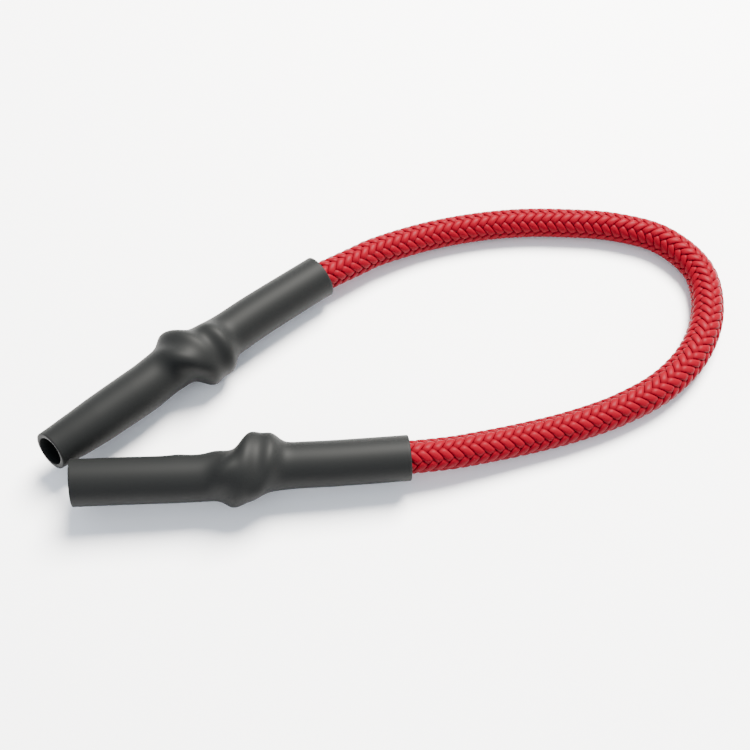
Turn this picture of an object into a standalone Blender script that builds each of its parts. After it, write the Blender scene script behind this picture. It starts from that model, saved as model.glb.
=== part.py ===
"""Knotted cord tether: a short braided cord bent in a U, with a heat-shrink sleeve on each end.

One braided cord (a braided cover over a core) is tied in an overhand knot near each end.
A heat-shrink sleeve is shrunk over each knot, and runs on past the cut tail as an open socket.
The cord's flexing is carried by five hinges: the cord is cut into six stretches, one to a body.

Metres, +Z up. The origin lies on the resting surface, below the middle of the two sleeves' box.
+X runs along the near sleeve, from its open end to the cord.
"""

import math

import bmesh
import bpy
import numpy as np
from mathutils import Matrix, Vector

MM = 0.001

# Cord
CORD_RADIUS = 3.0 * MM
COVER_INNER_RADIUS = 2.1 * MM
CORE_RADIUS = 1.8 * MM
KNOT_RADIUS = 1.5 * MM          # the cord pulled down hard, inside its knot
KNOT_TAPER = 5.0 * MM           # length over which the cord thins on its way into a knot
FIT = 0.3 * MM                  # clearance between pieces that touch
COVER_SIDES = 12
DOME_ANGLE = math.radians(64)   # the ring between a dome's opening and its full width
RING_STEP = 2.4 * MM
KNOT_STEP = 1.15 * MM
DENSE_STEP = 0.25 * MM

# Heat-shrink sleeves
SLEEVE_AREA_FACTOR = 6.3 * MM * MM   # outer radius squared less inner radius squared
SLEEVE_SIDES = 20
SLEEVE_STATIONS = 40
TENSION_PASSES = 6
SLEEVE_TILT = math.radians(1.6)      # each sleeve lies on its knot, its open end a little higher

# Half of the overhand knot, from its middle to where the cord leaves along +X.
# The other half is the same, turned half round about the knot's own Z axis.
KNOT_HALF = [
    (0.0, 0.0, 4.0),
    (-1.6, 1.5, 4.0),
    (-3.1, 2.5, 2.9),
    (-4.1, 2.8, 0.8),
    (-4.3, 2.1, -1.5),
    (-3.8, 0.5, -3.4),
    (-2.6, -1.2, -4.1),
    (-0.8, -2.1, -3.6),
    (0.6, -2.1, -2.1),
    (1.5, -0.8, -0.3),
    (2.8, 0.8, 0.4),
    (4.6, 1.1, 0.5),
    (6.8, 0.4, 0.2),
]

# The free cord on the floor, from the near sleeve's mouth round to the far sleeve's, in mm
FREE_ROUTE = [
    (38.7, -18.5, 4.6),
    (43.9, -17.9, 4.1),
    (53.7, -16.4, 3.3),
    (63.5, -14.6, 3.04),
    (73.1, -11.9, 3.0),
    (82.1, -7.7, 3.0),
    (89.6, -1.1, 3.0),
    (94.4, 7.6, 3.0),
    (95.2, 17.4, 3.0),
    (89.8, 25.6, 3.0),
    (80.9, 29.9, 3.0),
    (71.1, 31.9, 3.0),
    (61.2, 32.9, 3.0),
    (51.2, 32.6, 3.04),
    (41.4, 31.0, 3.3),
    (31.9, 27.9, 4.1),
    (26.9, 25.4, 4.6),
]

# Where the cord flexes, in mm along it from the near sleeve's mouth
FLEX_AT = [14.0, 45.5, 83.0, 120.5, 151.0]
STRETCHES = ["near_grip", "near_run", "near_bend", "far_bend", "far_run", "far_grip"]

GRIPS = {
    "near": {
        "open_end": (-26.5, -18.85, 7.23),
        "heading": 0.0,
        "length": 59.0,
        "tail_tip": 11.0,
        "knot_at": (29.4, 0.1),
        "knot_turn": -130.0,
        "bore": [(0, 3.35), (59, 3.25)],
        "sway": [(0, 0.0), (9, -0.4), (19, -0.9), (25, -1.0), (31, -0.4), (38, 0.0), (46, -0.2), (59, -0.3)],
    },
    "far": {
        "open_end": (-30.5, -12.35, 7.17),
        "heading": 34.25,
        "length": 60.7,
        "tail_tip": 13.5,
        "knot_at": (30.2, 0.3),
        "knot_turn": 50.0,
        "bore": [(0, 2.6), (5, 3.05), (10, 3.40), (18, 3.60), (25, 3.55), (61, 3.35)],
        "sway": [
            (0, 0.0), (7, 0.0), (14, 0.2), (20, 0.4), (25, 0.9), (31, 0.8), (38, 0.3), (46, 0.4), (61, 0.1),
        ],
    },
}

RED_COVER = (0.62, 0.012, 0.03)
PALE_CORE = (0.80, 0.76, 0.70)
DARK_SLEEVE = (0.032, 0.034, 0.032)


def clear_scene():
    for old in list(bpy.data.objects):
        bpy.data.objects.remove(old)


def make_material(name, colour, roughness):
    material = bpy.data.materials.new(name)
    material.use_nodes = True
    shader = material.node_tree.nodes["Principled BSDF"]
    shader.inputs["Base Color"].default_value = (*colour, 1.0)
    shader.inputs["Roughness"].default_value = roughness
    shader.inputs["Metallic"].default_value = 0.0
    return material


def smooth_line(points, step):
    """Points every step along a Catmull-Rom curve, and how far along it each given point lies."""
    points = np.array(points, float)
    padded = np.vstack([2 * points[0] - points[1], points, 2 * points[-1] - points[-2]])
    share = np.linspace(0, 1, 40, endpoint=False)[:, None]
    spans = []
    for i in range(1, len(padded) - 2):
        before, start, end, after = padded[i - 1:i + 3]
        slope_in = (end - before) / 2
        slope_out = (after - start) / 2
        spans.append(
            (2 * share**3 - 3 * share**2 + 1) * start
            + (share**3 - 2 * share**2 + share) * slope_in
            + (3 * share**2 - 2 * share**3) * end
            + (share**3 - share**2) * slope_out
        )
    fine = np.vstack(spans + [points[-1:]])
    run = np.concatenate([[0], np.cumsum(np.linalg.norm(np.diff(fine, axis=0), axis=1))])
    count = int(round(run[-1] / step)) + 1
    at = np.linspace(0, run[-1], count)
    line = np.column_stack([np.interp(at, run, fine[:, k]) for k in range(3)])
    return line, run[::40]


def sway_at(grip, x):
    """The sleeve's sideways bow, in metres, at x metres from its open end."""
    stations, offsets = np.array(grip["sway"], float).T * MM
    curve, _ = smooth_line(np.column_stack([stations, offsets, 0 * stations]), DENSE_STEP)
    return np.interp(x, curve[:, 0], curve[:, 1])


def grip_matrix(grip):
    """From a sleeve's own axes (X from its open end to the cord) to the part's."""
    place = Matrix.Translation(Vector(grip["open_end"]) * MM)
    turn = Matrix.Rotation(math.radians(grip["heading"]), 4, "Z")
    return place @ turn @ Matrix.Rotation(SLEEVE_TILT, 4, "Y")


def to_part(grip, points):
    matrix = np.array(grip_matrix(grip))
    return np.array(points) @ matrix[:3, :3].T + matrix[:3, 3]


def knot_points(grip):
    """The knot's route in its sleeve's axes, from the tail's side to the cord's, in metres."""
    half = np.array(KNOT_HALF) * MM
    other_half = half[:0:-1] * (-1, -1, 1)
    route = np.vstack([other_half, half])
    turn = math.radians(grip["knot_turn"])
    y = route[:, 1] * math.cos(turn) - route[:, 2] * math.sin(turn)
    z = route[:, 1] * math.sin(turn) + route[:, 2] * math.cos(turn)
    along, across = grip["knot_at"]
    return np.column_stack([route[:, 0] + along * MM, y + across * MM, z])


def grip_route(grip):
    """The cord's route inside one sleeve, from its cut tail to just inside the mouth, in metres."""
    knot = knot_points(grip)
    tip = grip["tail_tip"] * MM
    tail_x = [tip, (tip + knot[0, 0]) / 2 - 1.0 * MM]
    run_x = [knot[-1, 0] + 5 * MM, knot[-1, 0] + 12 * MM, grip["length"] * MM - 4 * MM]
    tail = [(x, sway_at(grip, x), 0.0) for x in tail_x]
    run = [(x, sway_at(grip, x), 0.0) for x in run_x]
    return np.vstack([tail, knot, run]), len(tail), len(tail) + len(knot) - 1


def cord_line():
    """The whole cord's centreline, its radius along it, and the distances of its marks."""
    near, near_knot_start, near_knot_end = grip_route(GRIPS["near"])
    far, far_knot_start, far_knot_end = grip_route(GRIPS["far"])
    route = np.vstack([
        to_part(GRIPS["near"], near),
        np.array(FREE_ROUTE) * MM,
        to_part(GRIPS["far"], far)[::-1],
    ])
    line, at = smooth_line(route, DENSE_STEP)
    run = np.linspace(0, at[-1], len(line))
    last = len(route) - 1
    knots = [
        (at[near_knot_start], at[near_knot_end]),
        (at[last - far_knot_end], at[last - far_knot_start]),
    ]
    radius = np.full(len(line), CORD_RADIUS)
    for start, end in knots:
        outside = np.maximum(start - run, run - end)
        share = np.clip(outside / KNOT_TAPER, 0, 1)
        share = share * share * (3 - 2 * share)
        radius = np.minimum(radius, KNOT_RADIUS + (CORD_RADIUS - KNOT_RADIUS) * share)
    mouths = []
    for name, side in (("near", 1), ("far", -1)):
        grip = GRIPS[name]
        mouth = Vector(to_part(grip, [(grip["length"] * MM, sway_at(grip, grip["length"] * MM), 0)])[0])
        mouths.append(run[np.argmin(np.linalg.norm(line - np.array(mouth), axis=1))])
    return {"line": line, "run": run, "radius": radius, "knots": knots, "mouths": mouths}


def stretch(cord, start, end, step):
    """Evenly spaced points, directions and radii of the cord between two distances along it."""
    count = max(2, int(round((end - start) / step)) + 1)
    at = np.linspace(start, end, count)
    sample = [np.interp(at, cord["run"], cord["line"][:, k]) for k in range(3)]
    points = np.column_stack(sample)
    ahead = np.column_stack([np.interp(at + DENSE_STEP, cord["run"], cord["line"][:, k]) for k in range(3)])
    behind = np.column_stack([np.interp(at - DENSE_STEP, cord["run"], cord["line"][:, k]) for k in range(3)])
    directions = (ahead - behind) / np.linalg.norm(ahead - behind, axis=1)[:, None]
    return points, directions, np.interp(at, cord["run"], cord["radius"])


def solid_tube(name, points, radii, resolution, material):
    """A closed tube along a poly line, its ends capped."""
    curve = bpy.data.curves.new(name, "CURVE")
    curve.dimensions = "3D"
    curve.bevel_depth = 1.0
    curve.bevel_resolution = resolution
    curve.use_fill_caps = True
    curve.twist_mode = "MINIMUM"
    spline = curve.splines.new("POLY")
    spline.points.add(len(points) - 1)
    for point, place, radius in zip(spline.points, points, radii):
        point.co = (*place, 1.0)
        point.radius = radius
        point.tilt = 0.0
    spline.use_smooth = True
    curve.materials.append(material)
    tube = bpy.data.objects.new(name, curve)
    bpy.context.collection.objects.link(tube)
    return tube


def ring_solid(name, rings, material):
    """A closed hollow wall: each ring of points is joined to the next, and the last to the first."""
    rings = np.array(rings)
    count, sides = rings.shape[:2]
    mesh = bpy.data.meshes.new(name)
    shape = bmesh.new()
    bmesh.ops.create_grid(shape, x_segments=sides, y_segments=count, size=1.0)
    shape.verts.ensure_lookup_table()
    for row in range(count + 1):
        for column in range(sides + 1):
            shape.verts[row * (sides + 1) + column].co = rings[row % count, column % sides]
    bmesh.ops.remove_doubles(shape, verts=shape.verts, dist=0.001 * MM)
    bmesh.ops.triangulate(shape, faces=shape.faces)
    bmesh.ops.recalc_face_normals(shape, faces=shape.faces)
    if shape.calc_volume(signed=True) < 0:
        bmesh.ops.reverse_faces(shape, faces=shape.faces)
    shape.to_mesh(mesh)
    shape.free()
    mesh.shade_smooth()
    mesh.set_sharp_from_angle(angle=math.radians(40))
    mesh.materials.append(material)
    solid = bpy.data.objects.new(name, mesh)
    bpy.context.collection.objects.link(solid)
    return solid


def cross_section(centre, direction, radius, sides):
    """A ring of points about a centre, square to a direction that lies nearly level."""
    side = np.cross((0, 0, 1), direction)
    side = side / np.linalg.norm(side)
    up = np.cross(direction, side)
    angles = np.arange(sides) * 2 * math.pi / sides
    return centre + radius * (np.outer(np.cos(angles), side) + np.outer(np.sin(angles), up))


def cover_rings(points, directions, domed):
    """The braided cover's rings: along its outside, then back along its bore, domed about its first point."""
    outside = [cross_section(p, d, CORD_RADIUS, COVER_SIDES) for p, d in zip(points, directions)]
    bore = [cross_section(p, d, COVER_INNER_RADIUS, COVER_SIDES) for p, d in zip(points, directions)]
    dome = []
    if domed:
        for angle in (math.asin(COVER_INNER_RADIUS / CORD_RADIUS), DOME_ANGLE):
            centre = points[0] - CORD_RADIUS * math.cos(angle) * directions[0]
            dome.append(cross_section(centre, directions[0], CORD_RADIUS * math.sin(angle), COVER_SIDES))
    return dome + outside + bore[::-1]


def add_cord(cord, cover_material, core_material):
    """The cover and core of each stretch, cut where the cord flexes."""
    first = cord["knots"][0][1] + KNOT_TAPER + FIT
    last = cord["knots"][1][0] - KNOT_TAPER - FIT
    flexes = [cord["mouths"][0] + distance * MM for distance in FLEX_AT]
    starts = [first] + flexes
    ends = [flex - CORD_RADIUS - FIT for flex in flexes] + [last]
    for name, start, end in zip(STRETCHES, starts, ends):
        after_a_flex = start != first
        points, directions, _ = stretch(cord, start, end, RING_STEP)
        ring_solid("cover_" + name, cover_rings(points, directions, after_a_flex), cover_material)
        core_start = start - CORE_RADIUS if after_a_flex else start
        points, _, radii = stretch(cord, core_start, end, RING_STEP)
        solid_tube("core_" + name, points, np.full(len(radii), CORE_RADIUS), 2, core_material)


def add_knots(cord, material):
    """Each knot with its thinning ends, and the cut tail beyond it."""
    near, far = cord["knots"]
    spans = {
        "near_tail": (0.0, near[0] - KNOT_TAPER - FIT),
        "near_knot": (near[0] - KNOT_TAPER, near[1] + KNOT_TAPER),
        "far_knot": (far[0] - KNOT_TAPER, far[1] + KNOT_TAPER),
        "far_tail": (far[1] + KNOT_TAPER + FIT, cord["run"][-1]),
    }
    for name, (start, end) in spans.items():
        points, _, radii = stretch(cord, start, end, KNOT_STEP)
        solid_tube(name, points, radii, 3, material)


def bore_needed(grip, cord, start, end):
    """The least inner radius of a sleeve at each station and angle, for the cord between two distances."""
    inside = (cord["run"] >= start) & (cord["run"] <= end)
    back = np.array(grip_matrix(grip).inverted())
    line = cord["line"][inside] @ back[:3, :3].T + back[:3, 3]
    radius = cord["radius"][inside]
    # Looked at twice as finely as the sleeve's mesh, so that the cord clears its flat facets too
    stations = np.linspace(0, grip["length"] * MM, 2 * SLEEVE_STATIONS - 1)
    angles = np.arange(2 * SLEEVE_SIDES) * math.pi / SLEEVE_SIDES
    centres = sway_at(grip, stations)
    at, bore = np.array(grip["bore"], float).T * MM
    least = np.repeat(np.interp(stations, at, bore)[:, None], len(angles), axis=1)
    for i, x in enumerate(stations):
        reach = radius**2 - (line[:, 0] - x)**2
        near = reach > 0
        if not near.any():
            continue
        dy = (line[near, 1] - centres[i])[:, None]
        dz = line[near, 2][:, None]
        along = dy * np.cos(angles) + dz * np.sin(angles)
        left = reach[near][:, None] - (dy**2 + dz**2 - along**2)
        hit = np.where(left > 0, along + np.sqrt(np.maximum(left, 0)), 0)
        least[i] = np.maximum(least[i], hit.max(axis=0) + FIT)
    least = np.maximum(least, np.maximum(np.roll(least, 1, axis=1), np.roll(least, -1, axis=1)))
    padded = np.vstack([least[:1], least, least[-1:]])
    least = np.maximum(least, np.maximum(padded[:-2], padded[2:]))
    return least[::2, ::2]


def sleeve_rings(grip, cord, start, end):
    """Outer and inner rings of a sleeve that has shrunk on to the cord and its knot."""
    least = bore_needed(grip, cord, start, end)
    skin = least.copy()
    for _ in range(TENSION_PASSES):
        ahead = np.vstack([skin[1:], skin[-1:]])
        behind = np.vstack([skin[:1], skin[:-1]])
        hoop = np.roll(skin, 1, axis=1) + np.roll(skin, -1, axis=1)
        skin = np.maximum(least, (ahead + behind + hoop) / 4)
    outer = np.sqrt(skin**2 + SLEEVE_AREA_FACTOR)
    stations = np.linspace(0, grip["length"] * MM, SLEEVE_STATIONS)
    angles = np.arange(SLEEVE_SIDES) * 2 * math.pi / SLEEVE_SIDES
    centres = sway_at(grip, stations)
    rings = []
    for radii, order in ((outer, 1), (skin, -1)):
        y = centres[:, None] + radii * np.cos(angles)
        z = radii * np.sin(angles)
        x = np.repeat(stations[:, None], SLEEVE_SIDES, axis=1)
        rings.extend(np.stack([x, y, z], axis=2)[::order])
    return np.array(rings)


def add_sleeves(cord, material):
    """Both heat-shrink sleeves, each made in its own axes and placed by its object's matrix."""
    near_mouth, far_mouth = cord["mouths"]
    spans = {
        "near": (0.0, near_mouth + 2 * CORD_RADIUS),
        "far": (far_mouth - 2 * CORD_RADIUS, cord["run"][-1]),
    }
    for name, (start, end) in spans.items():
        grip = GRIPS[name]
        sleeve = ring_solid(name + "_sleeve", sleeve_rings(grip, cord, start, end), material)
        sleeve.matrix_world = grip_matrix(grip)


def main():
    clear_scene()
    cord = cord_line()
    cover = make_material("red_braid", RED_COVER, 0.35)
    add_cord(cord, cover, make_material("pale_core", PALE_CORE, 0.7))
    add_knots(cord, cover)
    add_sleeves(cord, make_material("dark_heat_shrink", DARK_SLEEVE, 0.45))


main()
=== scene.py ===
import math

import bmesh
import bpy
import numpy as np
from bpy.props import FloatProperty, FloatVectorProperty, IntProperty, PointerProperty
from mathutils import Matrix, Vector


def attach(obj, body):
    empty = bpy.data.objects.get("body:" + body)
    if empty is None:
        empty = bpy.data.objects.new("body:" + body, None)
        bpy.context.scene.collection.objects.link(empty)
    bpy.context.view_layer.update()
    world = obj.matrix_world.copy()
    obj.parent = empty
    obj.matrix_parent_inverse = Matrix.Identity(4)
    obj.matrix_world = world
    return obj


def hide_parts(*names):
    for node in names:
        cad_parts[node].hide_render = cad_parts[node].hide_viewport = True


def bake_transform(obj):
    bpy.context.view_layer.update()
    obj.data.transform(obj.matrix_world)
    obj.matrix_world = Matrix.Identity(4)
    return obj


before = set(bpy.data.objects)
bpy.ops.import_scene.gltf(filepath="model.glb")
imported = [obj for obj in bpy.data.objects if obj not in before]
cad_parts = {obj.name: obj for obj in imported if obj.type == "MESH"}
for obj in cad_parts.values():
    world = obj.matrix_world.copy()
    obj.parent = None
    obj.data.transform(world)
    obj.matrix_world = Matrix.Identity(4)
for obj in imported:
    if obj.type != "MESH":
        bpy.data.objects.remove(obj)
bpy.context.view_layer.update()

bl_info = {
    "name": "Knotted Cord Tether",
    "version": (1, 0, 0),
    "blender": (4, 5, 0),
    "location": "3D View > Sidebar > Tether",
    "description": "Builds a braided cord knotted at both ends under heat-shrink sleeves",
    "category": "Object",
}

MM = 0.001

# The cord and its knots run as in the part's own solids. Places are in metres, in the part's axes.
KNOT_RADIUS = 1.5 * MM      # the cord pulled down hard, inside its knot
KNOT_TAPER = 5.0 * MM       # length over which the cord thins on its way into a knot
SLEEVE_TILT = math.radians(1.6)
DENSE_STEP = 0.25 * MM
CURVE_SHARES = 40           # points from one given point of a line to the next

# The braid and its sealed ends
STITCH_ROWS = 8             # rings of points from one stitch to the next
STRAND_SIDES = 10
STRAND_SQUARENESS = 0.85    # below 1, a strand's section is squarer than an ellipse
CHANGE_SHARPNESS = 2.2      # how quickly a strand changes from over to under
CORE_SIDES = 24
CORE_STEP = 0.8 * MM
SEAL_SIDES = 28
SEAL_SCALE = 0.97           # the seal's width against its outline's
# The seal's outline: how far out from the cut, and how wide there, in mm
SEAL_OUTLINE = [(-0.35, 2.0), (-0.35, 2.9), (0.1, 3.0), (0.45, 2.6), (0.6, 1.6), (0.65, 0.6)]
TAIL_GAP = 0.6 * MM         # between a tail's braid and its knot
TAIL_INSET = 0.4 * MM       # between a tail's braid and its sealed tip

# The sleeves
TURN_RADIUS = 1.60 * MM     # how broad a turn of the knot feels through the sleeve
TURN_COVER = 0.55 * MM      # the sleeve's wall where it is stretched over the knot
CORD_CLEARANCE = 0.15 * MM
SLEEVE_MARGIN = 2 * MM      # how far past its ends, and to its sides, a sleeve still feels the cord
SLEEVE_ASIDE = 12 * MM
SKIN_EASING = 7             # smoothing passes that follow the tension, on the bore and on the outside
OUTER_EASING = 8
SLEEVE_SIDES = 96
SLEEVE_STEP = 0.25 * MM
ASKEW_REACH = 8 * MM        # how far in from the open end its askew cut is felt
ASKEW_SIDE = math.radians(120)
BORE_SHADE = 1.2 * MM       # how far into an open end the bore's shade takes to reach its full depth

# Every mesh
WELD_DISTANCE = 0.0005 * MM
SHARP_ANGLE = math.radians(50)

# The stage
FLOOR_SIZE = 2.5
FLOOR_DROP = 0.14 * MM      # the floor lies just under the cord where its cover bunches up
LIGHT_TARGET = (0.030, 0.003, 0.0)
SKY_COLOUR = (0.81, 0.88, 1.0, 1.0)
CAMERA_AT = (0.01879, -0.09430, 0.16680)
CAMERA_TARGET = (0.02842, 0.00152, 0.0)
CAMERA_LENS = 48.14

# Half of the overhand knot, from its middle to where the cord leaves along +X.
# The other half is the same, turned half round about the knot's own Z axis.
KNOT_HALF = [
    (0.0, 0.0, 0.0040),
    (-0.0016, 0.0015, 0.0040),
    (-0.0031, 0.0025, 0.0029),
    (-0.0041, 0.0028, 0.0008),
    (-0.0043, 0.0021, -0.0015),
    (-0.0038, 0.0005, -0.0034),
    (-0.0026, -0.0012, -0.0041),
    (-0.0008, -0.0021, -0.0036),
    (0.0006, -0.0021, -0.0021),
    (0.0015, -0.0008, -0.0003),
    (0.0028, 0.0008, 0.0004),
    (0.0046, 0.0011, 0.0005),
    (0.0068, 0.0004, 0.0002),
]

# The free cord, from the near sleeve's mouth round to the far sleeve's
FREE_ROUTE = [
    (0.0387, -0.0185, 0.0046),
    (0.0439, -0.0179, 0.0041),
    (0.0537, -0.0164, 0.0033),
    (0.0635, -0.0146, 0.00304),
    (0.0731, -0.0119, 0.0030),
    (0.0821, -0.0077, 0.0030),
    (0.0896, -0.0011, 0.0030),
    (0.0944, 0.0076, 0.0030),
    (0.0952, 0.0174, 0.0030),
    (0.0898, 0.0256, 0.0030),
    (0.0809, 0.0299, 0.0030),
    (0.0711, 0.0319, 0.0030),
    (0.0612, 0.0329, 0.0030),
    (0.0512, 0.0326, 0.00304),
    (0.0414, 0.0310, 0.0033),
    (0.0319, 0.0279, 0.0041),
    (0.0269, 0.0254, 0.0046),
]

# Each sleeve's places are measured from its open end, along it and across it.
# "bore" and "sway" say how wide it is and how it bows sideways, and "skew" how askew its open end is cut.
# "turns" are the knot's two turns where they press on the sleeve: degrees round it, along it, and reach.
GRIPS = {
    "near": {
        "open_end": (-0.0265, -0.01885, 0.00723),
        "heading": 0.0,
        "length": 0.0590,
        "tail_tip": 0.0110,
        "knot_at": (0.0294, 0.0001),
        "knot_turn": -130.0,
        "bore": [(0, 0.00335), (0.059, 0.00325)],
        "skew": 0.0004,
        "sway": [
            (0, 0), (0.009, -0.0004), (0.019, -0.0009), (0.025, -0.0010),
            (0.031, -0.0004), (0.038, 0), (0.046, -0.0002), (0.059, -0.0003),
        ],
        "turns": [
            [(-50, 0.0310, 0.0055), (0, 0.0315, 0.0065), (30, 0.0317, 0.0070), (60, 0.0309, 0.0067),
             (90, 0.0303, 0.0063), (120, 0.0298, 0.0061), (150, 0.0291, 0.0059), (180, 0.0283, 0.0060),
             (210, 0.0278, 0.0059), (240, 0.0282, 0.0058), (270, 0.0290, 0.0058), (310, 0.0303, 0.0055)],
            [(-30, 0.0340, 0.0052), (0, 0.0343, 0.0060), (30, 0.0345, 0.0064), (60, 0.0346, 0.0062),
             (90, 0.0343, 0.0059), (120, 0.0336, 0.0056), (150, 0.0322, 0.0052), (180, 0.0312, 0.0051),
             (210, 0.0305, 0.0052), (240, 0.0305, 0.0049)],
        ],
    },
    "far": {
        "open_end": (-0.0305, -0.01235, 0.00717),
        "heading": 34.25,
        "length": 0.0607,
        "tail_tip": 0.0135,
        "knot_at": (0.0302, 0.0003),
        "knot_turn": 50.0,
        "bore": [
            (0, 0.0026), (0.005, 0.00305), (0.010, 0.00340),
            (0.018, 0.00360), (0.025, 0.00355), (0.061, 0.00335),
        ],
        "skew": 0.0010,
        "sway": [
            (0, 0), (0.007, 0), (0.014, 0.0002), (0.020, 0.0004), (0.025, 0.0009),
            (0.031, 0.0008), (0.038, 0.0003), (0.046, 0.0004), (0.061, 0.0001),
        ],
        "turns": [
            [(-50, 0.0290, 0.0053), (0, 0.0282, 0.0060), (25, 0.0284, 0.0064), (55, 0.0296, 0.0062),
             (85, 0.0308, 0.0061), (115, 0.0317, 0.0061), (145, 0.0319, 0.0064), (175, 0.0318, 0.0070),
             (205, 0.0317, 0.0073), (235, 0.0314, 0.0066), (270, 0.0307, 0.0057), (310, 0.0300, 0.0054)],
            [(75, 0.0346, 0.0049), (90, 0.0352, 0.0055),
             (115, 0.0357, 0.0059), (145, 0.0357, 0.0062), (175, 0.0353, 0.0066), (205, 0.0349, 0.0067),
             (235, 0.0346, 0.0061), (270, 0.0342, 0.0052)],
        ],
    },
}

# Each visible stretch of cord is braided as its own piece, and meets the next stretch end to end.
# Distances are along the cord from the near sleeve's mouth.
STRETCHES = [
    {"name": "cord_near_mouth", "from": -0.0200, "to": 0.0290, "flex": 0.0140, "reach": 0.013,
     "bodies": ("near_grip", "near_run")},
    {"name": "cord_near_run", "from": 0.0290, "to": 0.0652, "flex": 0.0455, "reach": 0.016,
     "bodies": ("near_run", "near_bend")},
    {"name": "cord_bend", "from": 0.0652, "to": 0.1014, "flex": 0.0830, "reach": 0.017,
     "bodies": ("near_bend", "far_bend")},
    {"name": "cord_far_run", "from": 0.1014, "to": 0.1376, "flex": 0.1205, "reach": 0.016,
     "bodies": ("far_bend", "far_run")},
    {"name": "cord_far_mouth", "from": 0.1376, "to": 0.1850, "flex": 0.1510, "reach": 0.013,
     "bodies": ("far_run", "far_grip")},
]

# How much fuller the cord is where its cover bunches up towards the bend, along the cord from the near mouth
FULLNESS = [(-0.05, 1.0), (0.0, 1.0), (0.040, 1.0), (0.056, 1.05), (0.072, 1.05), (0.088, 1.0), (0.30, 1.0)]


class CordSettings(bpy.types.PropertyGroup):
    radius: FloatProperty(
        name="Radius", description="Outside radius of the braided cord",
        default=0.0030, min=0.001, unit="LENGTH", precision=5)
    strands: IntProperty(
        name="Strands each way", description="Strands that wind each way round the cord",
        default=8, min=4, max=16)
    stitch: FloatProperty(
        name="Stitch", description="Distance along the cord from one stitch to the next",
        default=0.00190, min=0.0005, unit="LENGTH", precision=5)
    thickness: FloatProperty(
        name="Strand thickness", description="Thickness of one flat strand",
        default=0.00054, min=0.0001, unit="LENGTH", precision=5)
    colour: FloatVectorProperty(
        name="Colour", description="Colour of the cord's fibres",
        subtype="COLOR", size=3, default=(0.095, 0.0003, 0.0052), min=0, max=1)


class SleeveSettings(bpy.types.PropertyGroup):
    wall_area: FloatProperty(
        name="Wall factor", description="Outer radius squared less inner radius squared, in square mm",
        default=6.2, min=1.0)
    tension: IntProperty(
        name="Tension", description="Smoothing passes that pull the sleeve straight between high points",
        default=36, min=0, max=4000)
    rim_round: FloatProperty(
        name="Rim rounding", description="Radius of the cut rims' edges",
        default=0.00016, min=0, unit="LENGTH", precision=5)
    colour: FloatVectorProperty(
        name="Colour", description="Colour of the heat-shrink",
        subtype="COLOR", size=3, default=(0.0052, 0.0056, 0.0056), min=0, max=1)


class StageSettings(bpy.types.PropertyGroup):
    floor_colour: FloatVectorProperty(
        name="Floor", description="Colour of the floor",
        subtype="COLOR", size=3, default=(0.97, 0.97, 0.97), min=0, max=1)
    key_power: FloatProperty(
        name="Key light", description="Power of the large overhead light", default=26.0, min=0, unit="POWER")
    sky: FloatProperty(
        name="Sky", description="Strength of the light from all round", default=1.15, min=0)


# --- shader nodes -----------------------------------------------------------------------------------

class Shade:
    """One socket of a shader, so that maths on it is written as an expression."""

    def __init__(self, tree, socket):
        self.tree = tree
        self.socket = socket

    def _math(self, operation, first, second, clamp=False):
        made = self.tree.nodes.new("ShaderNodeMath")
        made.operation = operation
        made.use_clamp = clamp
        for socket, value in zip(made.inputs, (first, second)):
            feed(self.tree, socket, value)
        return Shade(self.tree, made.outputs[0])

    def __add__(self, other):
        return self._math("ADD", self, other)

    def __radd__(self, other):
        return self._math("ADD", other, self)

    def __sub__(self, other):
        return self._math("SUBTRACT", self, other)

    def __rsub__(self, other):
        return self._math("SUBTRACT", other, self)

    def __mul__(self, other):
        return self._math("MULTIPLY", self, other)

    def __pow__(self, other):
        return self._math("POWER", self, other)

    def clamped(self):
        return self._math("ADD", self, 0.0, clamp=True)


def feed(tree, socket, value):
    if isinstance(value, Shade):
        tree.links.new(value.socket, socket)
    else:
        socket.default_value = value


def add_node(tree, kind, settings=None, out=0, **inputs):
    """One node of the given type, its settings made first, then its sockets' values or links."""
    made = tree.nodes.new(kind)
    for key, value in (settings or {}).items():
        setattr(made, key, value)
    for key, value in inputs.items():
        index = key.replace("_", " ") if key.replace("_", " ") in made.inputs else int(key.strip("i"))
        feed(tree, made.inputs[index], value)
    return Shade(tree, made.outputs[out])


def new_material(name):
    material = bpy.data.materials.new(name)
    material.use_nodes = True
    tree = material.node_tree
    return material, tree, tree.nodes["Principled BSDF"]


def mix_colour(tree, share, first, second):
    """Between two colours."""
    made = tree.nodes.new("ShaderNodeMix")
    made.data_type = "RGBA"
    feed(tree, made.inputs["Factor"], share)
    feed(tree, made.inputs[6], first)
    feed(tree, made.inputs[7], second)
    return Shade(tree, made.outputs[2])


def stretched_uv(tree, across, along):
    """The piece's own UV map, drawn out by a factor each way."""
    uv = add_node(tree, "ShaderNodeUVMap", {"uv_map": "UVMap"})
    return add_node(tree, "ShaderNodeMapping", Vector=uv, Scale=(across, along, 1.0))


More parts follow.
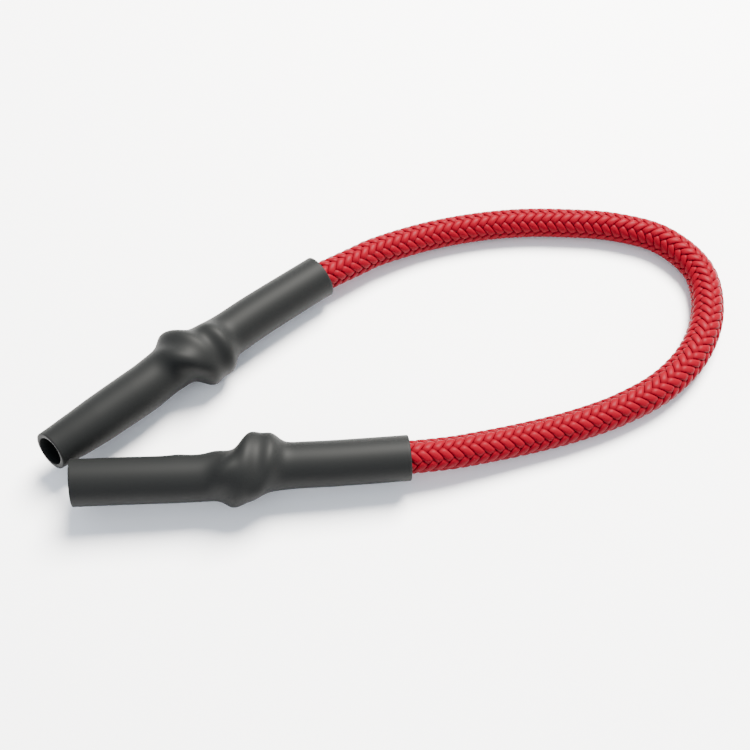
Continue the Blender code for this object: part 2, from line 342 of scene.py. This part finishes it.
def braid_material(colour):
    """Glossy filament strands: fine fibres along each one, and painted shade in darker red between the
    stitches.
    """
    material, tree, shader = new_material("red_braid_fibres")
    # How high each point stands on the braid, which sets where shade is painted
    crown = add_node(tree, "ShaderNodeAttribute", {"attribute_name": "crown"}, out=2)
    fibres = add_node(
        tree, "ShaderNodeTexNoise", {"noise_dimensions": "2D"},
        Vector=stretched_uv(tree, 9.0, 0.55), Scale=1.0, Detail=3.0, Roughness=0.6)
    patches = add_node(
        tree, "ShaderNodeTexNoise", {"noise_dimensions": "2D"},
        Vector=stretched_uv(tree, 0.5, 0.35), Scale=1.0, Detail=2.0, Roughness=0.5)
    # Painted shade: a darker red where the strands sink between the stitches and over the core
    painted_recess_shade = tuple(c * 0.22 for c in colour) + (1.0,)
    pale = (colour[0] * 1.6, colour[1] * 12, colour[2] * 1.4, 1.0)
    full = tuple(colour) + (1.0,)
    body = mix_colour(tree, (fibres * 1.5 + patches * 0.6 - 0.75).clamped(), full, pale)
    shader.inputs["Base Color"].default_value = full
    # Share of the fibres' own colour: 1 on the strands' crowns, falling to 0 in the recesses, where painted
    # shade takes over
    recess = ((crown * 1.35) ** 1.2).clamped()
    tree.links.new(mix_colour(tree, recess, painted_recess_shade, body).socket, shader.inputs["Base Color"])
    rough = 0.30 + fibres * 0.16 + (1.0 - recess) * 0.30
    tree.links.new(rough.socket, shader.inputs["Roughness"])
    bump = add_node(
        tree, "ShaderNodeBump", None, Strength=0.7, Distance=0.00009, Height=fibres)
    tree.links.new(bump.socket, shader.inputs["Normal"])
    shader.inputs["Specular IOR Level"].default_value = 0.025
    return material


def melted_material(colour):
    """The cord's cut end, sealed with heat: darker, hard and shiny, with small pits."""
    material, tree, shader = new_material("red_melted_end")
    place = add_node(tree, "ShaderNodeTexCoord", None, out=3)
    pits = add_node(
        tree, "ShaderNodeTexNoise", None, Vector=place, Scale=1400.0, Detail=2.0, Roughness=0.5)
    dark = tuple(c * 0.25 for c in colour) + (1.0,)
    full = tuple(c * 0.7 for c in colour) + (1.0,)
    tree.links.new(mix_colour(tree, pits, dark, full).socket, shader.inputs["Base Color"])
    bump = add_node(tree, "ShaderNodeBump", None, Strength=0.6, Distance=0.0001, Height=pits)
    tree.links.new(bump.socket, shader.inputs["Normal"])
    shader.inputs["Roughness"].default_value = 0.28
    return material


def heat_shrink_material(colour):
    """Satin heat-shrink: soft unevenness from the knot and the heat, fine lines drawn along it, and painted
    shade inside its open ends.
    """
    material, tree, shader = new_material("dark_heat_shrink_skin")
    uneven = add_node(
        tree, "ShaderNodeTexNoise", {"noise_dimensions": "2D"},
        Vector=stretched_uv(tree, 0.30, 0.16), Scale=1.0, Detail=2.0, Roughness=0.5)
    grain = add_node(
        tree, "ShaderNodeTexNoise", {"noise_dimensions": "2D"},
        Vector=stretched_uv(tree, 7.0, 5.0), Scale=1.0, Detail=3.0, Roughness=0.65)
    drawn = add_node(
        tree, "ShaderNodeTexNoise", {"noise_dimensions": "2D"},
        Vector=stretched_uv(tree, 3.2, 0.12), Scale=1.0, Detail=2.0, Roughness=0.5)
    full = tuple(colour) + (1.0,)
    dusty = (colour[0] * 1.45, colour[1] * 1.43, colour[2] * 1.36, 1.0)
    tone = (uneven * 0.6 + drawn * 0.5 + grain * 0.25 - 0.35).clamped()
    # Painted shade in the bore: the inner skin darkens to 0.3 of the colour deeper into an open end
    bore = add_node(tree, "ShaderNodeAttribute", {"attribute_name": "crown"}, out=2)
    skin = mix_colour(tree, tone, full, dusty)
    skin_with_painted_shade = mix_colour(tree, bore, skin, tuple(c * 0.3 for c in colour) + (1.0,))
    tree.links.new(skin_with_painted_shade.socket, shader.inputs["Base Color"])
    rough = (0.46 + uneven * 0.12 + grain * 0.10 + bore * 0.5).clamped()
    tree.links.new(rough.socket, shader.inputs["Roughness"])
    height = uneven * 1.6 + drawn * 0.30 + grain * 0.10
    bump = add_node(tree, "ShaderNodeBump", None, Strength=0.5, Distance=0.00022, Height=height)
    tree.links.new(bump.socket, shader.inputs["Normal"])
    shader.inputs["Specular IOR Level"].default_value = 0.09
    return material


def floor_material(colour):
    """A plain pale floor, very slightly mottled."""
    material, tree, shader = new_material("pale_floor")
    place = add_node(tree, "ShaderNodeTexCoord", None, out=3)
    mottle = add_node(tree, "ShaderNodeTexNoise", None, Vector=place, Scale=18.0, Detail=2.0)
    full = tuple(colour) + (1.0,)
    dim = tuple(c * 0.985 for c in colour) + (1.0,)
    tree.links.new(mix_colour(tree, mottle, full, dim).socket, shader.inputs["Base Color"])
    shader.inputs["Roughness"].default_value = 0.9
    shader.inputs["Specular IOR Level"].default_value = 0.1
    return material


# --- the cord's line --------------------------------------------------------------------------------

def smooth_line(points, step):
    """Points every step along a Catmull-Rom curve, and how far along it each given point lies."""
    points = np.array(points, float)
    padded = np.vstack([2 * points[0] - points[1], points, 2 * points[-1] - points[-2]])
    share = np.linspace(0, 1, CURVE_SHARES, endpoint=False)[:, None]
    spans = []
    for i in range(1, len(padded) - 2):
        before, start, end, after = padded[i - 1:i + 3]
        slope_in = (end - before) / 2
        slope_out = (after - start) / 2
        spans.append(
            (2 * share**3 - 3 * share**2 + 1) * start
            + (share**3 - 2 * share**2 + share) * slope_in
            + (3 * share**2 - 2 * share**3) * end
            + (share**3 - share**2) * slope_out
        )
    fine = np.vstack(spans + [points[-1:]])
    run = np.concatenate([[0], np.cumsum(np.linalg.norm(np.diff(fine, axis=0), axis=1))])
    at = np.linspace(0, run[-1], int(round(run[-1] / step)) + 1)
    line = np.column_stack([np.interp(at, run, fine[:, k]) for k in range(3)])
    return line, run[::CURVE_SHARES]


def sway_at(grip, x):
    """A sleeve's sideways bow at x from its open end."""
    stations, offsets = np.array(grip["sway"], float).T
    curve, _ = smooth_line(np.column_stack([stations, offsets, 0 * stations]), DENSE_STEP)
    return np.interp(x, curve[:, 0], curve[:, 1])


def grip_matrix(grip):
    """From a sleeve's own axes (X from its open end to the cord) to the part's."""
    turn = Matrix.Rotation(math.radians(grip["heading"]), 4, "Z")
    return Matrix.Translation(Vector(grip["open_end"])) @ turn @ Matrix.Rotation(SLEEVE_TILT, 4, "Y")


def to_part(grip, points):
    matrix = np.array(grip_matrix(grip))
    return np.array(points) @ matrix[:3, :3].T + matrix[:3, 3]


def knot_points(grip):
    """An overhand knot's line in its sleeve's axes, from the tail's side to the cord's."""
    half = np.array(KNOT_HALF)
    route = np.vstack([half[:0:-1] * (-1, -1, 1), half])
    turn = math.radians(grip["knot_turn"])
    y = route[:, 1] * math.cos(turn) - route[:, 2] * math.sin(turn)
    z = route[:, 1] * math.sin(turn) + route[:, 2] * math.cos(turn)
    along, across = grip["knot_at"]
    return np.column_stack([route[:, 0] + along, y + across, z])


def grip_route(grip):
    """The cord's line inside one sleeve, from its cut tail to just inside the mouth."""
    knot = knot_points(grip)
    tip = grip["tail_tip"]
    tail_x = [tip, (tip + knot[0, 0]) / 2 - 1.0 * MM]
    run_x = [knot[-1, 0] + 5 * MM, knot[-1, 0] + 12 * MM, grip["length"] - 4 * MM]
    tail = [(x, sway_at(grip, x), 0.0) for x in tail_x]
    run = [(x, sway_at(grip, x), 0.0) for x in run_x]
    return np.vstack([tail, knot, run]), len(tail), len(tail) + len(knot) - 1


def cord_line(radius):
    """The whole cord's line, its radius and directions along it, and where its knots and mouths are."""
    near, near_start, near_end = grip_route(GRIPS["near"])
    far, far_start, far_end = grip_route(GRIPS["far"])
    route = np.vstack([
        to_part(GRIPS["near"], near), np.array(FREE_ROUTE), to_part(GRIPS["far"], far)[::-1],
    ])
    line, at = smooth_line(route, DENSE_STEP)
    run = np.linspace(0, at[-1], len(line))
    last = len(route) - 1
    knots = [(at[near_start], at[near_end]), (at[last - far_end], at[last - far_start])]
    thick = np.full(len(line), radius)
    for start, end in knots:
        share = np.clip(np.maximum(start - run, run - end) / KNOT_TAPER, 0, 1)
        share = share * share * (3 - 2 * share)
        thick = np.minimum(thick, KNOT_RADIUS + (radius - KNOT_RADIUS) * share)
    mouths = []
    for grip in GRIPS.values():
        mouth = to_part(grip, [(grip["length"], sway_at(grip, grip["length"]), 0)])[0]
        mouths.append(run[np.argmin(np.linalg.norm(line - mouth, axis=1))])
    along = np.gradient(line, axis=0)
    along = along / np.linalg.norm(along, axis=1)[:, None]
    side = np.zeros_like(line)
    carried = np.array((0.0, 0.0, 1.0))
    for i, direction in enumerate(along):
        carried = carried - carried.dot(direction) * direction
        carried = carried / np.linalg.norm(carried)
        side[i] = carried
    return {"line": line, "run": run, "radius": thick, "along": along, "side": side,
            "knots": knots, "mouths": mouths}


def on_cord(cord, distance, angle, radius):
    """Points at a distance along the cord, an angle round it and a radius from its line."""
    def read(values):
        return np.stack([np.interp(distance, cord["run"], values[:, k]) for k in range(3)], axis=-1)
    along, side = read(cord["along"]), read(cord["side"])
    other = np.cross(along, side)
    return (read(cord["line"]) + radius[..., None]
            * (np.cos(angle)[..., None] * side + np.sin(angle)[..., None] * other))


# --- meshes -----------------------------------------------------------------------------------------

def add_tube(shape, rings, crown, uv_offset, uv_scale):
    """An open tube through rings of points, made from a grid; crown is kept for the material to read, and the
    braid's and sleeves' materials paint shade by it.
    """
    count, sides = rings.shape[:2]
    layer = shape.verts.layers.float.get("crown") or shape.verts.layers.float.new("crown")
    uv = shape.loops.layers.uv.verify()
    first = len(shape.verts)
    bmesh.ops.create_grid(shape, x_segments=sides, y_segments=count - 1, size=1.0, calc_uvs=True)
    shape.verts.ensure_lookup_table()
    for row in range(count):
        for column in range(sides + 1):
            vertex = shape.verts[first + row * (sides + 1) + column]
            vertex.co = rings[row, column % sides]
            vertex[layer] = crown[row, column % sides]
    faces = {face for vertex in shape.verts[first:] for face in vertex.link_faces}
    for face in faces:
        for loop in face.loops:
            u, v = loop[uv].uv
            loop[uv].uv = (u * uv_scale[0] + uv_offset, v * uv_scale[1])


def finish_mesh(name, shape, material, fill=True):
    """Closes the seams and ends of what was made, turns its faces outwards and makes it an object."""
    bmesh.ops.remove_doubles(shape, verts=shape.verts, dist=WELD_DISTANCE)
    if fill:
        rims = [edge for edge in shape.edges if edge.is_boundary]
        bmesh.ops.holes_fill(shape, edges=rims, sides=0)
    bmesh.ops.recalc_face_normals(shape, faces=shape.faces)
    mesh = bpy.data.meshes.new(name)
    shape.to_mesh(mesh)
    shape.free()
    mesh.shade_smooth()
    mesh.set_sharp_from_angle(angle=SHARP_ANGLE)
    mesh.materials.append(material)
    made = bpy.data.objects.new(name, mesh)
    bpy.context.scene.collection.objects.link(made)
    return made


def braid(name, cord, start, end, settings, material):
    """A closed stretch of braid: strands wound both ways, each over two and under two, on a round core."""
    shape = bmesh.new()
    lead = settings.strands * settings.stitch
    steepness = math.atan2(2 * math.pi * settings.radius, lead)
    width = 0.97 * settings.stitch * math.sin(steepness)
    wave = settings.thickness / 2
    middle = settings.radius - settings.thickness
    count = int(round((end - start) / (settings.stitch / STITCH_ROWS))) + 1
    at = np.linspace(start, end, count)[:, None]
    mouth = cord["mouths"][0]
    round_it = np.linspace(0, 2 * math.pi, STRAND_SIDES, endpoint=False)
    across = np.sign(np.cos(round_it)) * np.abs(np.cos(round_it)) ** STRAND_SQUARENESS * width / 2
    height = np.sign(np.sin(round_it)) * np.abs(np.sin(round_it)) ** STRAND_SQUARENESS
    height = height * settings.thickness / 2
    stations, fullness = np.array(FULLNESS).T
    for way in (1, -1):
        for i in range(settings.strands):
            middle_angle = way * (at - mouth) * 2 * math.pi / lead + i * 2 * math.pi / settings.strands
            # Over two strands and under the next two
            lift = np.cos(settings.strands / 2 * middle_angle - math.pi / 4)
            lift = np.tanh(CHANGE_SHARPNESS * lift) / math.tanh(CHANGE_SHARPNESS)
            distance = at - way * across * math.sin(steepness)
            angle = middle_angle + across * math.cos(steepness) / settings.radius
            radius = middle + way * wave * lift + height
            # How high each point stands on the braid, from 0 deep between strands to 1 on top; the material
            # paints shade where it is low
            crown = np.clip((radius - (middle - 1.2 * wave)) / (3.6 * wave), 0, 1)
            full = np.interp(distance - mouth, stations, fullness)
            rings = on_cord(cord, distance, angle, radius * full)
            add_tube(shape, rings, crown, 3.7 * i + 31.0 * way,
                     (2.4 * width / MM, (end - start) / math.cos(steepness) / MM))
    core_rows = max(3, int((end - start) / CORE_STEP))
    core_at = np.linspace(start, end, core_rows)
    core_angle = np.linspace(0, 2 * math.pi, CORE_SIDES, endpoint=False)
    core_at, core_angle = np.meshgrid(core_at, core_angle, indexing="ij")
    core_radius = np.full(core_at.shape, middle - 0.2 * settings.thickness)
    rings = on_cord(cord, core_at, core_angle, core_radius)
    # The core gets crown 0, so it is painted all over in the braid's shade colour
    add_tube(shape, rings, 0 * core_radius, 0.0, (10.0, 10.0))
    return finish_mesh(name, shape, material)


def turn_lines(grip):
    """The middle lines of the knot's turns under a sleeve, in the sleeve's axes."""
    lines = []
    for turn in grip["turns"]:
        angle, along, reach = np.array(turn).T
        angle = np.radians(angle)
        middle = reach - TURN_RADIUS - TURN_COVER
        centre = sway_at(grip, along)
        points = np.column_stack([along, centre + middle * np.cos(angle), middle * np.sin(angle)])
        lines.append(smooth_line(points, DENSE_STEP)[0])
    return np.vstack(lines)


def shrunk_skin(grip, cord, settings, stations, sides):
    """A sleeve's inner radius at each station and angle: pulled straight between the cord's high points."""
    back = np.array(grip_matrix(grip).inverted())
    line = cord["line"] @ back[:3, :3].T + back[:3, 3]
    inside = (line[:, 0] > -SLEEVE_MARGIN) & (line[:, 0] < grip["length"] + SLEEVE_MARGIN)
    inside &= np.abs(line[:, 1]) < SLEEVE_ASIDE
    turns = turn_lines(grip)
    line = np.vstack([line[inside], turns])
    radius = np.concatenate([cord["radius"][inside] + CORD_CLEARANCE, np.full(len(turns), TURN_RADIUS)])
    angles = np.arange(sides) * 2 * math.pi / sides
    centres = sway_at(grip, stations)
    at, bore = np.array(grip["bore"]).T
    least = np.repeat(np.interp(stations, at, bore)[:, None], sides, axis=1)
    for i, x in enumerate(stations):
        reach = radius**2 - (line[:, 0] - x)**2
        near = reach > 0
        if not near.any():
            continue
        dy = (line[near, 1] - centres[i])[:, None]
        dz = line[near, 2][:, None]
        along = dy * np.cos(angles) + dz * np.sin(angles)
        left = reach[near][:, None] - (dy**2 + dz**2 - along**2)
        hit = np.where(left > 0, along + np.sqrt(np.maximum(left, 0)), 0)
        least[i] = np.maximum(least[i], hit.max(axis=0))
    skin = least.copy()
    for _ in range(settings.tension):
        skin = np.maximum(least, eased(skin, 1.0))
    for _ in range(SKIN_EASING):
        skin = eased(skin, 0.5)
    return skin


def eased(skin, share):
    """A sleeve's radii moved by a share towards the mean of their neighbours."""
    ahead = np.vstack([skin[1:], skin[-1:]])
    behind = np.vstack([skin[:1], skin[:-1]])
    mean = (ahead + behind + np.roll(skin, 1, axis=1) + np.roll(skin, -1, axis=1)) / 4
    return skin + share * (mean - skin)


def shrink_sleeve(name, grip, cord, settings, material):
    """A heat-shrink sleeve with rounded rims, shrunk on to the cord and its knot."""
    length = grip["length"]
    edge = settings.rim_round
    rim = [0.0, 0.3 * edge, edge]
    middle = np.linspace(3 * edge, length - 3 * edge, int(length / SLEEVE_STEP))
    stations = np.concatenate([rim, middle, length - np.array(rim[::-1])])
    skin = shrunk_skin(grip, cord, settings, stations, SLEEVE_SIDES)
    outer = np.sqrt(skin**2 + settings.wall_area * MM * MM)
    for _ in range(OUTER_EASING):
        outer = eased(outer, 0.5)
    for row, share in ((0, 1.0), (1, 0.3), (-1, 1.0), (-2, 0.3)):
        outer[row] = outer[2 if row >= 0 else -3] - share * edge
        skin[row] = skin[2 if row >= 0 else -3] + 0.6 * share * edge
    angles = np.arange(SLEEVE_SIDES) * 2 * math.pi / SLEEVE_SIDES
    centres = sway_at(grip, stations)[:, None]
    # The open end is cut a little askew: the sleeve is shortest at ASKEW_SIDE, above and towards -Y
    open_share = np.clip(1 - stations[:, None] / ASKEW_REACH, 0, 1)
    askew = grip["skew"] * np.cos(angles - ASKEW_SIDE) * open_share
    x = stations[:, None] + askew
    rings = []
    for radii, order in ((outer, 1), (skin, -1)):
        rings.extend(np.stack([x, centres + radii * np.cos(angles), radii * np.sin(angles)], axis=2)[::order])
    rings.append(rings[0])
    rings = to_part(grip, np.array(rings).reshape(-1, 3)).reshape(len(rings), SLEEVE_SIDES, 3)
    shape = bmesh.new()
    # Where shade is painted in the bore: 0 on the outside, rising over BORE_SHADE from each rim to 1 inside
    depth = np.minimum(stations, length - stations)[::-1]
    bore = np.zeros(rings.shape[:2])
    bore[len(stations):-1] = np.clip(depth / BORE_SHADE, 0, 1)[:, None]
    add_tube(shape, rings, bore, 0.0, (27.0, 2 * length / MM))
    return finish_mesh(name, shape, material, fill=False)


def melted_end(name, cord, at, way, material):
    """The sealed end of a cut tail: a low dome over the braid's strands."""
    shape = bmesh.new()
    distance = np.full(SEAL_SIDES, at)
    angle = np.linspace(0, 2 * math.pi, SEAL_SIDES, endpoint=False)
    outwards = way * np.array([np.interp(at, cord["run"], cord["along"][:, k]) for k in range(3)])
    rings = []
    for out, radius in SEAL_OUTLINE:
        ring = on_cord(cord, distance, angle, np.full(SEAL_SIDES, radius * MM * SEAL_SCALE))
        rings.append(ring + out * MM * outwards)
    rings = np.array(rings)
    add_tube(shape, rings, np.zeros(rings.shape[:2]), 0.0, (1.0, 1.0))
    return finish_mesh(name, shape, material)


# --- operators --------------------------------------------------------------------------------------

class TETHER_OT_cord(bpy.types.Operator):
    """Braid the free cord, in stretches"""
    bl_idname = "tether.cord"
    bl_label = "Braided cord"

    def execute(self, context):
        settings = context.scene.tether_cord
        cord = cord_line(settings.radius)
        material = braid_material(settings.colour)
        mouth = cord["mouths"][0]
        for stretch in STRETCHES:
            start, end = mouth + stretch["from"], mouth + stretch["to"]
            piece = braid(stretch["name"], cord, start, end, settings, material)
            middle = mouth + stretch["flex"]
            ends = [
                Vector([float(np.interp(at, cord["run"], cord["line"][:, k])) for k in range(3)])
                for at in (middle - stretch["reach"], middle + stretch["reach"])
            ]
            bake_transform(piece)
            inside = (cord["run"] >= start) & (cord["run"] <= end)
            end - start
        replaced = {
            "cord_near_mouth": ("cover_near_grip", "core_near_grip"),
            "cord_near_run": ("cover_near_run", "core_near_run"),
            "cord_bend": ("cover_near_bend", "core_near_bend"),
            "cord_far_run": ("cover_far_bend", "core_far_bend"),
            "cord_far_mouth": ("cover_far_run", "core_far_run", "cover_far_grip", "core_far_grip"),
        }
        for name, nodes in replaced.items():
            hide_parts(*nodes)
        return {"FINISHED"}


class TETHER_OT_tails(bpy.types.Operator):
    """Braid the cut tails that end inside the open sleeves, and seal their ends"""
    bl_idname = "tether.tails"
    bl_label = "Cut tails"

    def execute(self, context):
        settings = context.scene.tether_cord
        cord = cord_line(settings.radius)
        material = braid_material(settings.colour)
        sealed = melted_material(settings.colour)
        near, far = cord["knots"]
        near_tip = TAIL_INSET
        far_tip = cord["run"][-1] - TAIL_INSET
        from_knot = KNOT_TAPER + TAIL_GAP
        spans = {
            "near": (near_tip, near[0] - from_knot, near_tip, -1),
            "far": (far[1] + from_knot, far_tip, far_tip, 1),
        }
        for name, (start, end, tip, way) in spans.items():
            tail = braid(name + "_tail_braid", cord, start, end, settings, material)
            dome = melted_end(name + "_tail_seal", cord, tip, way, sealed)
            for piece in (tail, dome):
                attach(piece, name + "_grip")
            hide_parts(name + "_tail")
        for node in ("near_knot", "far_knot"):
            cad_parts[node].data.materials.clear()
            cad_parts[node].data.materials.append(material)
        return {"FINISHED"}


class TETHER_OT_sleeves(bpy.types.Operator):
    """Shrink both sleeves on to the cord and its knots"""
    bl_idname = "tether.sleeves"
    bl_label = "Heat-shrink sleeves"

    def execute(self, context):
        settings = context.scene.tether_sleeve
        cord = cord_line(context.scene.tether_cord.radius)
        material = heat_shrink_material(settings.colour)
        for name, grip in GRIPS.items():
            sleeve = shrink_sleeve(name + "_shrunk_sleeve", grip, cord, settings, material)
            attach(sleeve, name + "_grip")
            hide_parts(name + "_sleeve")
        return {"FINISHED"}


class TETHER_OT_stage(bpy.types.Operator):
    """Lay the floor, hang the lights and set the camera"""
    bl_idname = "tether.stage"
    bl_label = "Stage"

    def execute(self, context):
        settings = context.scene.tether_stage
        shape = bmesh.new()
        bmesh.ops.create_grid(shape, x_segments=1, y_segments=1, size=FLOOR_SIZE)
        bmesh.ops.translate(shape, verts=shape.verts, vec=(0, 0, -FLOOR_DROP))
        floor = finish_mesh("floor", shape, floor_material(settings.floor_colour), fill=False)
        middle = Vector(LIGHT_TARGET)
        # Name, place, size, power and colour
        lights = [
            ("key_light", (0.20, 0.25, 0.46), 0.30, settings.key_power, (1.0, 0.97, 0.92)),
            ("fill_light", (-0.25, -0.40, 0.50), 0.60, 0.06 * settings.key_power, (0.93, 0.96, 1.0)),
        ]
        for name, place, size, power, colour in lights:
            data = bpy.data.lights.new(name, "AREA")
            data.shape = "DISK"
            data.size = size
            data.energy = power
            data.color = colour
            lamp = bpy.data.objects.new(name, data)
            lamp.location = place
            lamp.rotation_euler = (middle - Vector(place)).to_track_quat("-Z", "Y").to_euler()
            context.scene.collection.objects.link(lamp)
        world = bpy.data.worlds.new("studio")
        world.use_nodes = True
        sky = world.node_tree.nodes["Background"]
        sky.inputs["Color"].default_value = SKY_COLOUR
        sky.inputs["Strength"].default_value = settings.sky
        context.scene.world = world
        place = Vector(CAMERA_AT)
        target = Vector(CAMERA_TARGET)
        data = bpy.data.cameras.new("camera")
        data.lens = CAMERA_LENS
        data.sensor_width = 36.0
        data.clip_start = 0.005
        camera = bpy.data.objects.new("camera", data)
        camera.location = place
        camera.rotation_euler = (target - place).to_track_quat("-Z", "Y").to_euler()
        context.scene.collection.objects.link(camera)
        context.scene.camera = camera
        return {"FINISHED"}


class TETHER_PT_panel(bpy.types.Panel):
    """Everything that builds the tether"""
    bl_label = "Knotted Cord Tether"
    bl_space_type = "VIEW_3D"
    bl_region_type = "UI"
    bl_category = "Tether"

    def draw(self, context):
        layout = self.layout
        for settings, operators in (
            (context.scene.tether_cord, ("tether.cord", "tether.tails")),
            (context.scene.tether_sleeve, ("tether.sleeves",)),
            (context.scene.tether_stage, ("tether.stage",)),
        ):
            box = layout.box()
            for key in settings.__annotations__:
                box.prop(settings, key)
            for name in operators:
                box.operator(name)


CLASSES = (
    CordSettings, SleeveSettings, StageSettings,
    TETHER_OT_cord, TETHER_OT_tails, TETHER_OT_sleeves, TETHER_OT_stage, TETHER_PT_panel,
)


def register():
    for each in CLASSES:
        bpy.utils.register_class(each)
    bpy.types.Scene.tether_cord = PointerProperty(type=CordSettings)
    bpy.types.Scene.tether_sleeve = PointerProperty(type=SleeveSettings)
    bpy.types.Scene.tether_stage = PointerProperty(type=StageSettings)


def unregister():
    del bpy.types.Scene.tether_stage
    del bpy.types.Scene.tether_sleeve
    del bpy.types.Scene.tether_cord
    for each in reversed(CLASSES):
        bpy.utils.unregister_class(each)


def main():
    register()
    bpy.ops.tether.cord()
    bpy.ops.tether.tails()
    bpy.ops.tether.sleeves()
    bpy.ops.tether.stage()


if __name__ == "__main__":
    main()
